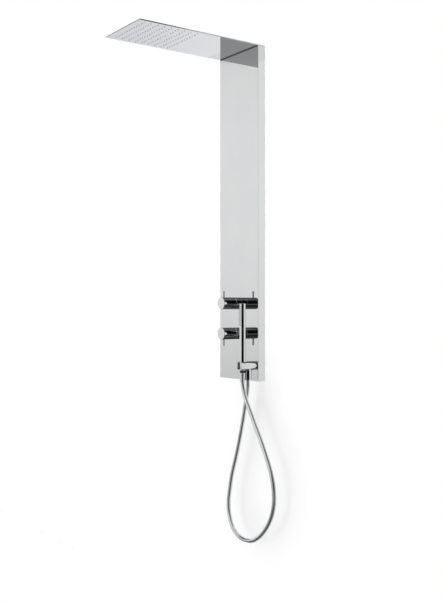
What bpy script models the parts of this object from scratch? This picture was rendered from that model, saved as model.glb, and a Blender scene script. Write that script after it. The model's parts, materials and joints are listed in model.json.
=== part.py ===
"""Rainfall shower column: a folded stainless steel panel hung on the wall, a thin spray head
reaching out over the bather, two turning controls with pin levers, and a stick handset that
stands in the fork at the end of the water outlet, with its hose hanging in one long loop.

Metres. +X is to the right for someone facing the wall, +Y goes into the wall, +Z is up.
The origin is the middle of the upper wall bracket's back face, on the wall's surface.
Below, "out" is the distance from the wall, and "height" is counted from the panel's lower edge.
"""

import math

import bmesh
import bpy
import numpy as np
from mathutils import Vector

# Driving dimensions
PANEL_WIDTH = 0.255
PANEL_HEIGHT = 1.300
PANEL_DEPTH = 0.035
HEAD_REACH = 0.560
HEAD_THICKNESS = 0.0045
ORIGIN_HEIGHT = 1.200  # of the upper wall bracket
LOWER_BRACKET_HEIGHT = 0.420

SHEET = 0.0015  # the column's steel
HEAD_SHEET = 0.0012
BEND = 0.0020  # outer radius of the column's folds
COVE = 0.0045  # radius of the hollow corner between the column's front and the head
LIP = 0.012  # the folded edge along the column's back
WALL_GAP = 0.0005
GAP = 0.0003  # clearance between neighbouring pieces
PAST = 0.010  # how far a cutter runs past the surface that it opens

# Spray head
NOZZLES_ACROSS = 13
NOZZLES_ALONG = 9
NOZZLE_PITCH_ACROSS = 0.01775
NOZZLE_PITCH_ALONG = 0.0285
FIRST_NOZZLE_OUT = HEAD_REACH - 0.030
NOZZLE_HOLE = 0.0027
NOZZLE_ROOT = 0.0023
NOZZLE_TIP = 0.0016
NOZZLE_DROP = 0.0035
MAT_THICKNESS = 0.0008
MAT_MARGIN = 0.010
GASKET_WIDTH = 0.004
SCREW_PLACES = ((-0.112, 0.009), (-0.112, 0.026), (0.112, 0.009), (0.112, 0.026))

# Water ways inside the column
PIPE_RADIUS = 0.0050
PIPE_BORE = 0.0038
PIPE_SOCKET = PIPE_RADIUS + GAP
DEEP_OUT = 0.0105  # the pipes that run close to the wall
SHALLOW_OUT = 0.0225  # the pipes that cross in front of them
RISER_X = -0.050
INLET_X = 0.075
INLET_HALF = 0.011

# Controls: height of the axis, and which way the lever points at rest
CONTROLS = {"mixer": (0.302, 1), "diverter": (0.183, -1)}
PORTS = {
    "mixer": ((-1, 0, DEEP_OUT), (1, 0, DEEP_OUT), (0, -1, SHALLOW_OUT)),
    "diverter": ((0, 1, SHALLOW_OUT), (-1, 0, SHALLOW_OUT), (1, 0, SHALLOW_OUT)),
}
BODY_HALF = 0.028
PORT_END = 0.010
PIPE_END = 0.018
NECK_RADIUS = 0.0155
CARTRIDGE_RADIUS = 0.0122
CONTROL_RADIUS = 0.0235
CONTROL_WALL = 0.002
SLEEVE_END = 0.060
KNOB_START = 0.061
KNOB_END = 0.1190
CONTROL_REACH = 0.121
SPINDLE_RADIUS = 0.004
LEVER_OUT = 0.1075
LEVER_RADIUS = 0.00375
LEVER_REACH = 0.049

# Outlet, fork and handset
OUTLET_X = 0.105
OUTLET_HEIGHT = 0.061
ARM_RADIUS = 0.017
ARM_REACH = 0.109
SHANK_RADIUS = 0.010
CHANNEL = 0.005
SPIGOT_OUT = 0.0677
FORK_OUT = 0.0937
FORK_HOLE = 0.0140
FORK_SLOT = 0.0220
LINER_SLOT = 0.0190  # a little wider than the foot of the cone, which leaves through it
CONE_TOP = 0.0777
CONE_BOTTOM = 0.034
HANDSET_RADIUS = 0.012
HANDSET_BOTTOM = 0.0780
HANDSET_TOP = 0.301
JET_ROWS = 9
JET_PITCH = 0.009
JET_FIRST = 0.222
JET_ANGLE = math.radians(20)

# Hose: 1.5 m long, drawn through points of (x, out, height)
HOSE_RADIUS = 0.00825
HOSE_POINTS = 44
HOSE_TOP_AT_CONE = CONE_BOTTOM - GAP
NUT_BOTTOM = 0.006
HOSE_TOP_AT_NUT = NUT_BOTTOM - GAP
HOSE_ROUTE = (
    (OUTLET_X, FORK_OUT, HOSE_TOP_AT_CONE),
    (OUTLET_X, FORK_OUT, 0.005),
    (0.111, 0.0930, -0.030),
    (0.126, 0.0920, -0.068),
    (0.148, 0.0905, -0.106),
    (0.173, 0.0890, -0.149),
    (0.211, 0.0870, -0.211),
    (0.245, 0.0850, -0.274),
    (0.271, 0.0835, -0.333),
    (0.283, 0.0820, -0.390),
    (0.281, 0.0810, -0.443),
    (0.265, 0.0800, -0.491),
    (0.235, 0.0800, -0.537),
    (0.196, 0.0800, -0.575),
    (0.150, 0.0800, -0.601),
    (0.102, 0.0795, -0.609),
    (0.056, 0.0790, -0.601),
    (0.021, 0.0785, -0.577),
    (0.000, 0.0780, -0.540),
    (-0.010, 0.0770, -0.498),
    (-0.005, 0.0755, -0.441),
    (0.008, 0.0740, -0.378),
    (0.028, 0.0725, -0.316),
    (0.049, 0.0710, -0.249),
    (0.068, 0.0700, -0.182),
    (0.083, 0.0690, -0.122),
    (0.096, 0.0680, -0.065),
    (OUTLET_X, SPIGOT_OUT, -0.020),
    (OUTLET_X, SPIGOT_OUT, HOSE_TOP_AT_NUT),
)

OUTWARD = Vector((0, -1, 0))
UPWARD = Vector((0, 0, 1))


def clear_scene():
    for thing in list(bpy.data.objects):
        bpy.data.objects.remove(thing, do_unlink=True)


def finish(name, colour, metallic, roughness):
    """A material with one Principled BSDF."""
    material = bpy.data.materials.new(name)
    material.use_nodes = True
    shader = material.node_tree.nodes["Principled BSDF"]
    shader.inputs["Base Color"].default_value = (*colour, 1)
    shader.inputs["Metallic"].default_value = metallic
    shader.inputs["Roughness"].default_value = roughness
    return material


def at(x, out, height):
    """The point at x, so far out from the wall, and so high above the panel's lower edge."""
    return Vector((x, -out, height - ORIGIN_HEIGHT))


def add_object(name, mesh_data, material, place=(0, 0, 0)):
    """Turns a bmesh into a named object with its faces pointing out."""
    bmesh.ops.recalc_face_normals(mesh_data, faces=mesh_data.faces)
    mesh = bpy.data.meshes.new(name)
    mesh_data.to_mesh(mesh)
    mesh_data.free()
    mesh.materials.append(material)
    mesh.shade_smooth()
    mesh.set_sharp_from_angle(angle=math.radians(35))
    piece = bpy.data.objects.new(name, mesh)
    piece.location = place
    bpy.context.scene.collection.objects.link(piece)
    return piece


def prism(name, outline, to_point, start, end, material):
    """A flat outline moved from start to end; to_point gives the place of (a, b, along)."""
    shape = bmesh.new()
    first = [shape.verts.new(to_point(a, b, start)) for a, b in outline]
    last = [shape.verts.new(to_point(a, b, end)) for a, b in outline]
    shape.faces.new(first)
    shape.faces.new(last)
    for i, corner in enumerate(first):
        j = (i + 1) % len(first)
        shape.faces.new((corner, first[j], last[j], last[i]))
    return add_object(name, shape, material)


def block(name, xs, outs, heights, material):
    """A box given by its range in x, out and height."""
    outline = [(xs[0], outs[0]), (xs[1], outs[0]), (xs[1], outs[1]), (xs[0], outs[1])]
    return prism(name, outline, at, heights[0], heights[1], material)


def hexagon_factor(angle):
    """Radius of a hexagon at an angle, as a share of its corner radius."""
    sixth = math.tau / 6
    return math.cos(sixth / 2) / math.cos(angle % sixth - sixth / 2)


def turned(name, profile, base, direction, material, sides=24):
    """Turns a closed profile of (radius, along) around an axis; "hex" makes a point hexagonal."""
    side = Vector((1, 0, 0)) if abs(direction.x) < 0.5 else Vector((0, 1, 0))
    across = direction.cross(side)
    shift = 0 if any(len(point) == 3 for point in profile) else 0.5
    shape = bmesh.new()
    rings = []
    for radius, along, *kind in profile:
        if radius == 0:
            rings.append([shape.verts.new(direction * along)])
            continue
        ring = []
        for i in range(sides):
            angle = math.tau * (i + shift) / sides
            reach = radius * (hexagon_factor(angle) if kind else 1)
            spoke = side * math.cos(angle) + across * math.sin(angle)
            ring.append(shape.verts.new(spoke * reach + direction * along))
        rings.append(ring)
    for one, other in zip(rings, rings[1:] + rings[:1]):
        join_rings(shape, one, other)
    return add_object(name, shape, material, base)


def join_rings(shape, one, other):
    """Joins two rings of points with faces; either may be a single point on the axis."""
    count = max(len(one), len(other))
    if count == 1:
        return
    for i in range(count):
        j = (i + 1) % count
        if len(one) == 1:
            shape.faces.new((one[0], other[i], other[j]))
        elif len(other) == 1:
            shape.faces.new((one[i], one[j], other[0]))
        else:
            shape.faces.new((one[i], one[j], other[j], other[i]))


def rod(name, radius, start, end, base, direction, material, sides=24):
    """A plain round rod between two places along its axis."""
    profile = [(0, start), (radius, start), (radius, end), (0, end)]
    return turned(name, profile, base, direction, material, sides)


def ring(name, inner, outer, start, end, base, direction, material, sides=24):
    """A plain ring with a square section."""
    profile = [(inner, start), (outer, start), (outer, end), (inner, end)]
    return turned(name, profile, base, direction, material, sides)


def rounded_route(corners, radius, steps=4):
    """The points of a bent tube: straight runs with an arc at each inner corner."""
    points = [corners[0]]
    for before, corner, after in zip(corners, corners[1:], corners[2:]):
        back = (before - corner).normalized()
        onward = (after - corner).normalized()
        half = back.angle(onward) / 2
        centre = corner + (back + onward).normalized() * (radius / math.sin(half))
        start = corner + back * (radius / math.tan(half)) - centre
        end = corner + onward * (radius / math.tan(half)) - centre
        sweep = math.pi - 2 * half
        for i in range(steps + 1):
            angle = sweep * i / steps
            spoke = start * math.sin(sweep - angle) + end * math.sin(angle)
            points.append(centre + spoke / math.sin(sweep))
    points.append(corners[-1])
    return points


def pipe(name, points, material, outer=PIPE_RADIUS, inner=PIPE_BORE, sides=8):
    """A hollow tube that follows points lying in one plane."""
    runs = [(b - a).normalized() for a, b in zip(points, points[1:])]
    normal = runs[0].cross(runs[-1])
    if normal.length < 0.1:
        normal = runs[0].orthogonal()
    normal.normalize()
    shape = bmesh.new()
    walls = []
    for radius in (outer, inner):
        wall = []
        for i, point in enumerate(points):
            ahead = (runs[max(i - 1, 0)] + runs[min(i, len(runs) - 1)]).normalized()
            side = normal.cross(ahead)
            circle = []
            for k in range(sides):
                angle = math.tau * k / sides
                spoke = normal * math.cos(angle) + side * math.sin(angle)
                circle.append(shape.verts.new(point + spoke * radius))
            wall.append(circle)
        walls.append(wall)
    for wall in walls:
        for one, other in zip(wall, wall[1:]):
            join_rings(shape, one, other)
    join_rings(shape, walls[0][0], walls[1][0])
    join_rings(shape, walls[0][-1], walls[1][-1])
    return add_object(name, shape, material)


def combine(piece, tool, operation="DIFFERENCE"):
    """Cuts a tool out of a piece, or joins it on, and hides the tool."""
    step = piece.modifiers.new(tool.name, "BOOLEAN")
    step.operation = operation
    step.solver = "EXACT"
    step.object = tool
    tool.hide_render = True
    tool.display_type = "WIRE"


def hang(pieces, name, place):
    """Puts pieces under an empty on their joint's axis, where they are."""
    empty = bpy.data.objects.new(name, None)
    empty.location = place
    empty.empty_display_size = 0.02
    bpy.context.scene.collection.objects.link(empty)
    for piece in pieces:
        piece.location = piece.location - Vector(place)
        piece.parent = empty


def folded_outline(inset):
    """The column's section from above, drawn in by inset, with its two front folds rounded."""
    half = PANEL_WIDTH / 2 - inset
    back = WALL_GAP + inset
    front = PANEL_DEPTH - inset
    radius = BEND - inset
    outline = [(-half, back), (half, back)]
    for sign, first in ((1, 0), (-1, 90)):
        for step in range(4):
            angle = math.radians(first + 30 * step)
            x = sign * (half - radius) + radius * math.cos(angle)
            outline.append((x, front - radius + radius * math.sin(angle)))
    return outline


def build_column(steel):
    """One folded tray, open at the back and top, with a lip all round the back."""
    panel = prism("column_panel", folded_outline(0), at, 0, PANEL_HEIGHT - GAP, steel)
    top = PANEL_HEIGHT + PAST
    hollow = prism("column_hollow", folded_outline(SHEET), at, SHEET, top, steel)
    half = PANEL_WIDTH / 2 - LIP
    window = block("column_window", (-half, half), (-PAST, WALL_GAP + 2 * SHEET), (LIP, top), steel)
    combine(panel, hollow)
    combine(panel, window)
    combine(panel, cove_strip(steel), "UNION")
    for name, (height, _) in CONTROLS.items():
        radius = NECK_RADIUS + 0.001
        hole = rod(name + "_hole", radius, 0.02, 0.05, at(0, 0, height), OUTWARD, steel, 20)
        combine(panel, hole)
    place = at(OUTLET_X, 0, OUTLET_HEIGHT)
    combine(panel, rod("outlet_hole", SHANK_RADIUS + GAP, 0.02, 0.05, place, OUTWARD, steel, 20))


def along_x(out, height, x):
    return at(x, out, height)


def cove_strip(steel):
    """The hollow corner where the column's front sweeps out under the head, with a blunt edge."""
    top = PANEL_HEIGHT - GAP
    root = PANEL_DEPTH - SHEET / 2
    low = top - GAP - COVE
    outline = [(root, low), (root, top), (PANEL_DEPTH + COVE, top)]
    for step in range(5):
        angle = math.radians(90 + 22.5 * step)
        out = PANEL_DEPTH + COVE + COVE * math.cos(angle)
        outline.append((out, low + COVE * math.sin(angle)))
    half = PANEL_WIDTH / 2 - BEND
    return prism("column_cove", outline, along_x, -half, half, steel)


def build_hangers(steel):
    """A wall bracket with a turned-up edge, and the bar on the column that hooks over it."""
    for name, level in (("upper", ORIGIN_HEIGHT), ("lower", LOWER_BRACKET_HEIGHT)):
        plate = [(0, -0.020), (0.003, -0.020), (0.003, 0.012), (0.008, 0.012)]
        plate += [(0.008, 0.022), (0.0055, 0.022), (0.0055, 0.0145), (0, 0.0145)]
        outline = [(out, level + up) for out, up in plate]
        bracket = prism(name + "_bracket", outline, along_x, -0.085, 0.085, steel)
        for x in (-0.065, 0.065):
            place = at(x, 0, level - 0.004)
            hole = rod(f"{name}_screw_hole_{x}", 0.003, -PAST, PAST, place, OUTWARD, steel, 8)
            combine(bracket, hole)
        hook = [(0.0095, -0.012), (0.0115, -0.012), (0.0115, 0.030), (0.0023, 0.030)]
        hook += [(0.0023, 0.0155), (0.0045, 0.0155), (0.0045, 0.028), (0.0095, 0.028)]
        outline = [(out, level + up) for out, up in hook]
        half = PANEL_WIDTH / 2 - SHEET - GAP
        prism(name + "_hanger", outline, along_x, -half, half, steel)


def nozzle_places():
    """Where the spray head's nozzles stand, as (x, out)."""
    places = []
    for row in range(NOZZLES_ALONG):
        for column in range(NOZZLES_ACROSS):
            x = (column - (NOZZLES_ACROSS - 1) / 2) * NOZZLE_PITCH_ACROSS
            places.append((x, FIRST_NOZZLE_OUT - row * NOZZLE_PITCH_ALONG))
    return places


def posts(name, places, bottom, top, material, sides=6):
    """Upright posts at places, as separate bodies for a Boolean; bottom and top are (radius, height)."""
    shape = bmesh.new()
    for x, out in places:
        ends = []
        for radius, height in (bottom, top):
            circle = []
            for i in range(sides):
                angle = math.tau * (i + 0.5) / sides
                place = at(x + radius * math.cos(angle), out + radius * math.sin(angle), height)
                circle.append(shape.verts.new(place))
            ends.append(circle)
            shape.faces.new(circle)
        join_rings(shape, ends[0], ends[1])
    return add_object(name, shape, material)


def build_head(steel, silicone, rubber, brass):
    """A shallow tray, closed from below by the spray plate, with a silicone mat between them."""
    half = PANEL_WIDTH / 2
    reach = (WALL_GAP, HEAD_REACH)
    top = PANEL_HEIGHT + HEAD_THICKNESS
    ceiling = top - HEAD_SHEET
    plate_top = PANEL_HEIGHT + HEAD_SHEET
    shell = block("head_shell", (-half, half), reach, (plate_top + GAP, top), steel)
    inner = half - HEAD_SHEET
    outs = (WALL_GAP + HEAD_SHEET, HEAD_REACH - HEAD_SHEET)
    combine(shell, block("head_hollow", (-inner, inner), outs, (PANEL_HEIGHT, ceiling), steel))

    plate = block("spray_plate", (-half, half), reach, (PANEL_HEIGHT, plate_top), steel)
    below, above = PANEL_HEIGHT - PAST, plate_top + PAST
    places = nozzle_places()
    combine(plate, posts("nozzle_holes", places, (NOZZLE_HOLE, below), (NOZZLE_HOLE, above), steel))
    inlet = [(RISER_X, SHALLOW_OUT)]
    combine(plate, posts("inlet_hole", inlet, (0.0084, below), (0.0084, above), steel, 16))
    combine(plate, posts("screw_holes", SCREW_PLACES, (0.0023, below), (0.0023, above), steel, 8))

    mat_bottom = plate_top + GAP
    mat_half = places[-1][0] + MAT_MARGIN
    mat_outs = (places[-1][1] - MAT_MARGIN, places[0][1] + MAT_MARGIN)
    heights = (mat_bottom, mat_bottom + MAT_THICKNESS)
    mat = block("nozzle_mat", (-mat_half, mat_half), mat_outs, heights, silicone)
    tip = (NOZZLE_TIP, PANEL_HEIGHT - NOZZLE_DROP)
    root = (NOZZLE_ROOT, mat_bottom + MAT_THICKNESS / 2)
    combine(mat, posts("nozzle_tips", places, tip, root, silicone), "UNION")

    heights = (mat_bottom, ceiling - GAP)
    gasket_half = inner - GAP
    outs = (outs[0] + GAP, outs[1] - GAP)
    gasket = block("head_gasket", (-gasket_half, gasket_half), outs, heights, rubber)
    window_half = gasket_half - GASKET_WIDTH
    outs = (outs[0] + GASKET_WIDTH, outs[1] - GASKET_WIDTH)
    combine(gasket, block("gasket_window", (-window_half, window_half), outs, (below, above), rubber))

    base = at(RISER_X, SHALLOW_OUT, 0)
    flange = ceiling - GAP
    profile = [(0.0045, flange), (0.0100, flange), (0.0100, mat_bottom), (0.0080, mat_bottom)]
    profile += [(0.0080, 1.270), (0.0045, 1.270)]
    turned("head_inlet", profile, base, UPWARD, brass, 16)
    nut = [(0.0083, 1.2910), (0.0115, 1.2910, "hex"), (0.0115, 1.2996, "hex"), (0.0083, 1.2996)]
    turned("head_inlet_nut", nut, base, UPWARD, brass, 18)
    nut = [(PIPE_SOCKET, 1.2560), (0.0115, 1.2560, "hex"), (0.0115, 1.2850, "hex")]
    nut += [(0.0083, 1.2850), (0.0083, 1.2690), (PIPE_SOCKET, 1.2690)]
    turned("riser_nut", nut, base, UPWARD, brass, 18)


def build_head_brackets(steel):
    """Angles at the column's top that carry the head, each with two screws up into it."""
    wall = PANEL_WIDTH / 2 - SHEET - GAP
    under = PANEL_HEIGHT - GAP
    screws = iter(range(1, 5))
    for name, sign in (("left", -1), ("right", 1)):
        angle = [(wall, 1.262), (wall, under), (wall - 0.024, under)]
        angle += [(wall - 0.024, under - 0.002), (wall - 0.002, under - 0.002), (wall - 0.002, 1.262)]
        outline = [(sign * x, height) for x, height in angle]
        bracket = prism(
            f"head_bracket_{name}", outline, lambda x, height, out: at(x, out, height), 0.004, 0.032, steel
        )
        places = [place for place in SCREW_PLACES if place[0] * sign > 0]
        holes = posts(f"bracket_holes_{name}", places, (0.0023, 1.29), (0.0023, 1.31), steel, 8)
        combine(bracket, holes)
        for x, out in places:
            seat = under - 0.002 - GAP
            profile = [(0, seat - 0.0022), (0.0035, seat - 0.0022), (0.0035, seat), (0.002, seat)]
            profile += [(0.002, 1.3012), (0, 1.3012)]
            turned(f"head_screw_{next(screws)}", profile, at(x, out, 0), UPWARD, steel, 8)


def build_pipes(steel, brass):
    """The two supplies, the riser to the head and the feed to the hose outlet."""
    mixer = CONTROLS["mixer"][0]
    diverter = CONTROLS["diverter"][0]
    for name, sign in (("hot", -1), ("cold", 1)):
        near, far = sign * PIPE_END, sign * (INLET_X - 0.006)
        ends = [at(near, DEEP_OUT, mixer), at(far, DEEP_OUT, mixer)]
        pipe(name + "_supply_pipe", ends, steel)
        xs = (sign * INLET_X - INLET_HALF, sign * INLET_X + INLET_HALF)
        heights = (mixer - INLET_HALF, mixer + INLET_HALF)
        elbow = block(name + "_inlet", xs, (0, 0.019), heights, brass)
        socket = sorted((sign * (INLET_X - 0.005), sign * (INLET_X - INLET_HALF - PAST)))
        base = at(0, DEEP_OUT, mixer)
        side = Vector((1, 0, 0))
        combine(elbow, rod(name + "_socket", PIPE_SOCKET, *socket, base, side, brass, 12))
        base = at(sign * INLET_X, 0, mixer)
        combine(elbow, rod(name + "_mouth", 0.0065, -PAST, 0.014, base, OUTWARD, brass, 12))
    ends = [at(0, SHALLOW_OUT, mixer - PIPE_END), at(0, SHALLOW_OUT, diverter + PIPE_END)]
    pipe("link_pipe", ends, steel)
    corners = [at(-PIPE_END, SHALLOW_OUT, diverter), at(RISER_X, SHALLOW_OUT, diverter)]
    corners.append(at(RISER_X, SHALLOW_OUT, 1.270 - GAP))
    pipe("riser_pipe", rounded_route(corners, 0.014), steel)
    corners = [at(PIPE_END, SHALLOW_OUT, diverter), at(OUTLET_X, SHALLOW_OUT, diverter)]
    corners.append(at(OUTLET_X, SHALLOW_OUT, OUTLET_HEIGHT + 0.012 - GAP))
    pipe("outlet_feed_pipe", rounded_route(corners, 0.020), steel)


def build_valve(name, height, brass, plastic, rubber):
    """The brass body inside the column, with its cartridge, retaining nut and seal."""
    heights = (height - BODY_HALF, height + BODY_HALF)
    body = block(name + "_body", (-BODY_HALF, BODY_HALF), (0.004, 0.0325), heights, brass)
    base = at(0, 0, height)
    neck = rod(name + "_neck", NECK_RADIUS, 0.030, 0.052, base, OUTWARD, brass, 20)
    combine(body, neck, "UNION")
    for number, (x, up, out) in enumerate(PORTS[name]):
        direction = Vector((x, 0, up))
        place = at(0, out, height)
        end = BODY_HALF + PAST
        sides = 11 + 2 * number
        port = rod(f"{name}_port_{number}", PIPE_SOCKET, PORT_END, end, place, direction, brass, sides)
        combine(body, port)
    bore = CARTRIDGE_RADIUS + GAP
    combine(body, rod(name + "_bore", bore, 0.008, 0.06, base, OUTWARD, brass, 20))
    hole = SPINDLE_RADIUS + GAP
    profile = [(0, 0.0083), (CARTRIDGE_RADIUS, 0.0083), (CARTRIDGE_RADIUS, 0.0542)]
    profile += [(hole, 0.0542), (hole, 0.0395), (0, 0.0395)]
    turned(name + "_cartridge", profile, base, OUTWARD, plastic, 20)
    grip = NECK_RADIUS + GAP
    profile = [(grip, 0.044), (0.0195, 0.044), (0.0195, 0.0565), (0.0065, 0.0565)]
    profile += [(0.0065, 0.0545), (grip, 0.0545)]
    turned(name + "_retaining_nut", profile, base, OUTWARD, brass, 20)
    start = PANEL_DEPTH + GAP
    ring(name + "_seal", NECK_RADIUS + 0.001, 0.0200, start, start + 0.0025, base, OUTWARD, rubber, 20)


def build_control(name, height, lever_way, chrome, steel, brass):
    """What is seen of a control: a fixed sleeve, and a knob with a pin lever that turns."""
    base = at(0, 0, height)
    outer, inner = CONTROL_RADIUS, CONTROL_RADIUS - CONTROL_WALL
    ring(name + "_sleeve", inner, outer, PANEL_DEPTH + GAP, SLEEVE_END, base, OUTWARD, chrome)
    hole = SPINDLE_RADIUS + GAP
    profile = [(outer, KNOB_START), (outer, KNOB_END), (inner, KNOB_END), (inner, 0.102)]
    profile += [(hole, 0.102), (hole, 0.088), (0.009, 0.088), (0.009, 0.098)]
    profile += [(inner, 0.098), (inner, KNOB_START)]
    knob = turned(name + "_knob", profile, base, OUTWARD, chrome)
    way = UPWARD * lever_way
    root = Vector((0, -LEVER_OUT, 0)) + base
    seat = rod(name + "_lever_hole", 0.0025, 0.015, 0.03, root, way, chrome, 8)
    combine(knob, seat)
    low = Vector((0, -0.093, 0)) + base
    screw_way = rod(name + "_screw_way", 0.0019, 0.002, 0.03, low, -way, chrome, 8)
    combine(knob, screw_way)
    start = KNOB_END + GAP
    profile = [(0, start - 0.004), (inner - GAP, start - 0.004), (inner - GAP, start), (outer, start)]
    profile += [(outer, CONTROL_REACH - 0.0006), (outer - 0.0006, CONTROL_REACH), (0, CONTROL_REACH)]
    cap = turned(name + "_cap", profile, base, OUTWARD, chrome)
    spindle = rod(name + "_spindle", SPINDLE_RADIUS, 0.040, 0.1005, base, OUTWARD, brass, 12)
    shoulder = outer + GAP
    profile = [(0, inner - 0.0005), (0.0022, inner - 0.0005), (0.0022, shoulder)]
    profile += [(LEVER_RADIUS, shoulder), (LEVER_RADIUS, LEVER_REACH - 0.0008)]
    profile += [(LEVER_RADIUS - 0.0008, LEVER_REACH), (0, LEVER_REACH)]
    lever = turned(name + "_lever", profile, root, way, chrome, 12)
    grub = rod(name + "_grub_screw", 0.0016, hole + GAP, 0.0085, low, -way, steel, 8)
    hang((knob, seat, screw_way, cap, spindle, lever, grub), name + "_axis", base)


def build_outlet(chrome, brass, plastic, rubber):
    """The outlet arm, which carries water to the hose and ends in the handset's fork."""
    base = at(OUTLET_X, 0, OUTLET_HEIGHT)
    xs = (OUTLET_X - 0.0135, OUTLET_X + 0.0135)
    heights = (OUTLET_HEIGHT - 0.0140, OUTLET_HEIGHT + 0.0150)
    elbow = block("outlet_elbow", xs, (0.004, 0.0325), heights, brass)
    socket = SHANK_RADIUS + GAP
    combine(elbow, rod("elbow_socket", socket, 0.0117, 0.04, base, OUTWARD, brass, 16))
    port = at(OUTLET_X, SHALLOW_OUT, OUTLET_HEIGHT)
    combine(elbow, rod("elbow_port", PIPE_SOCKET, 0.005, 0.03, port, UPWARD, brass, 12))

    start = PANEL_DEPTH + GAP
    profile = [(0, 0.012), (SHANK_RADIUS, 0.012), (SHANK_RADIUS, start), (ARM_RADIUS, start)]
    profile += [(ARM_RADIUS, ARM_REACH - 0.0006), (ARM_RADIUS - 0.0006, ARM_REACH), (0, ARM_REACH)]
    arm = turned("outlet_arm", profile, base, OUTWARD, chrome)
    combine(arm, rod("arm_channel", CHANNEL, 0.0, 0.0725, base, OUTWARD, chrome, 12))
    spigot = at(OUTLET_X, SPIGOT_OUT, 0)
    pocket = rod("arm_pocket", socket, 0.03, 0.0508, spigot, UPWARD, chrome, 16)
    combine(arm, pocket)
    combine(arm, rod("arm_drop", CHANNEL, 0.04, OUTLET_HEIGHT, spigot, UPWARD, chrome, 12))
    fork = at(OUTLET_X, FORK_OUT, 0)
    combine(arm, rod("fork_hole", FORK_HOLE, 0.03, 0.09, fork, UPWARD, chrome))
    xs = (OUTLET_X - FORK_SLOT / 2, OUTLET_X + FORK_SLOT / 2)
    slot = block("fork_slot", xs, (FORK_OUT, 0.13), (0.03, 0.09), chrome)
    combine(arm, slot)

    low, high = 0.0475, 0.0772
    profile = [(0.0102, low), (0.0137, low), (0.0137, high), (0.0122, high)]
    liner = turned("fork_liner", profile, fork, UPWARD, plastic)
    half = LINER_SLOT / 2
    liner_slot = block(
        "liner_slot", (OUTLET_X - half, OUTLET_X + half), (FORK_OUT, 0.13), (0.03, 0.09), plastic
    )
    combine(liner, liner_slot)
    wall = FORK_SLOT / 2 - GAP
    for name, sign in (("left", -1), ("right", 1)):
        xs = sorted((OUTLET_X + sign * half, OUTLET_X + sign * wall))
        outs = (FORK_OUT + 0.0082, ARM_REACH - 0.0015)
        cheek = block("liner_cheek_" + name, xs, outs, (low, high), plastic)
        combine(liner, cheek, "UNION")

    ring("outlet_spigot", CHANNEL, SHANK_RADIUS, 0.0187, 0.0505, spigot, UPWARD, brass, 16)
    ring("outlet_washer", 0.0055, 0.0098, 0.0166, 0.0184, spigot, UPWARD, rubber, 16)
    profile = [(CHANNEL, NUT_BOTTOM), (0.0138, NUT_BOTTOM), (0.0150, NUT_BOTTOM + 0.0012)]
    profile += [(0.0150, 0.0437), (socket, 0.0437), (socket, 0.0163), (CHANNEL, 0.0163)]
    turned("hose_outlet_nut", profile, spigot, UPWARD, chrome)


def build_handset(chrome, brass, silicone, rubber):
    """The stick handset, and the cone of its hose, which together stand in the fork."""
    base = at(OUTLET_X, FORK_OUT, 0)
    profile = [(CHANNEL, CONE_BOTTOM), (0.0092, CONE_BOTTOM), (0.0097, 0.0465), (0.0119, CONE_TOP)]
    profile += [(0.0089, CONE_TOP), (0.0089, 0.0540), (CHANNEL, 0.0540)]
    cone = turned("hose_cone", profile, base, UPWARD, chrome)
    washer = ring("cone_washer", 0.0055, 0.0086, 0.0543, 0.0560, base, UPWARD, rubber, 16)
    hang((cone, washer), "hose_swivel_axis", base)

    inside = HANDSET_RADIUS - 0.0015
    tube_top = HANDSET_TOP - 0.002
    tube = ring("handset_tube", inside, HANDSET_RADIUS, HANDSET_BOTTOM, tube_top, base, UPWARD, chrome, 20)
    jets = jet_places()
    holes = spokes("jet_holes", jets, 0.0019, 0.0019, 0.0085, 0.02, chrome)
    combine(tube, holes)
    seat = tube_top + GAP
    profile = [(0, seat - 0.0025), (inside - GAP, seat - 0.0025), (inside - GAP, seat)]
    profile += [(HANDSET_RADIUS, seat), (HANDSET_RADIUS, HANDSET_TOP - 0.0005)]
    profile += [(HANDSET_RADIUS - 0.0005, HANDSET_TOP), (0, HANDSET_TOP)]
    cap = turned("handset_cap", profile, base, UPWARD, chrome, 20)
    profile = [(CHANNEL, 0.0563), (0.0086, 0.0563), (0.0086, 0.0783), (inside - GAP, 0.0783)]
    profile += [(inside - GAP, 0.0900), (CHANNEL, 0.0900)]
    inlet = turned("handset_inlet", profile, base, UPWARD, brass, 16)
    strip = jet_strip(silicone, inside - GAP)
    tips = spokes("jet_tips", jets, 0.0015, 0.0012, 0.0095, HANDSET_RADIUS + 0.0025, silicone)
    combine(strip, tips, "UNION")
    hang((tube, holes, cap, inlet, strip, tips), "handset_axis", base)


def jet_places():
    """Where the handset's jets stand, as (angle from straight out, height)."""
    places = []
    for row in range(JET_ROWS):
        for sign in (-1, 1):
            height = JET_FIRST + row * JET_PITCH - (JET_PITCH / 2 if sign > 0 else 0)
            places.append((sign * JET_ANGLE, height))
    return places


def spokes(name, places, inner_size, outer_size, start, end, material, sides=6):
    """Short posts pointing out from the handset's axis, as separate bodies for a Boolean."""
    shape = bmesh.new()
    for angle, height in places:
        way = Vector((math.sin(angle), -math.cos(angle), 0))
        across = way.cross(UPWARD)
        middle = UPWARD * (height - ORIGIN_HEIGHT)
        ends = []
        for size, along in ((inner_size, start), (outer_size, end)):
            circle = []
            for i in range(sides):
                turn = math.tau * i / sides
                edge = across * math.cos(turn) + UPWARD * math.sin(turn)
                circle.append(shape.verts.new(middle + way * along + edge * size))
            ends.append(circle)
            shape.faces.new(circle)
        join_rings(shape, ends[0], ends[1])
    return add_object(name, shape, material, (OUTLET_X, -FORK_OUT, 0))


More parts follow.
